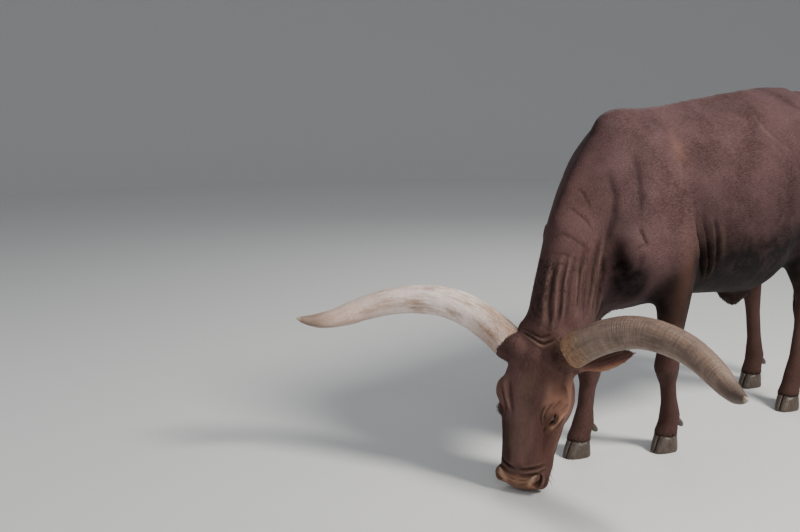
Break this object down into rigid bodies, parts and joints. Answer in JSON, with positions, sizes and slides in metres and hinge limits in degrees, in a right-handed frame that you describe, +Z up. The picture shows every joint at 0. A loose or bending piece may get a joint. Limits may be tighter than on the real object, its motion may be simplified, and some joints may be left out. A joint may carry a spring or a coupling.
{
  "type": "grazing long-horned ox figure",
  "caption": "Life-size standing ankole watusi ox grazing with its head at the ground, with long upswept horns, a dark red-brown coat and a hanging tail.",
  "frame": {"origin": "on the floor under the middle of the bounding box", "axes": "+X the way the body faces, +Y to the animal's left, +Z up"},
  "size_m": [2.3698, 1.6116, 1.3667],
  "materials": {
    "coat": "short glossy hair, dark red-brown",
    "tail_hair": "long dark hair",
    "horn": "tan horn, faintly ringed, darker at the tip",
    "hoof": "dull dark horn",
    "eye": "wet, near black"
  },
  "bodies": {
    "root": {"torso": "coat", "neck": "coat", "head": "coat", "tail": "coat", "tail_switch": "tail_hair", "foreleg_left": "coat", "foreleg_right": "coat", "hindleg_left": "coat", "hindleg_right": "coat", "ear_left": "coat", "ear_right": "coat", "horn_left": "horn", "horn_right": "horn", "eye_left": "eye", "eye_right": "eye", "claw_fore_left_left": "hoof", "claw_fore_left_right": "hoof", "claw_fore_right_left": "hoof", "claw_fore_right_right": "hoof", "claw_hind_left_left": "hoof", "claw_hind_left_right": "hoof", "claw_hind_right_left": "hoof", "claw_hind_right_right": "hoof", "dewclaw_fore_left_left": "hoof", "dewclaw_fore_left_right": "hoof", "dewclaw_fore_right_left": "hoof", "dewclaw_fore_right_right": "hoof", "dewclaw_hind_left_left": "hoof", "dewclaw_hind_left_right": "hoof", "dewclaw_hind_right_left": "hoof", "dewclaw_hind_right_right": "hoof"}
  },
  "joints": []
}
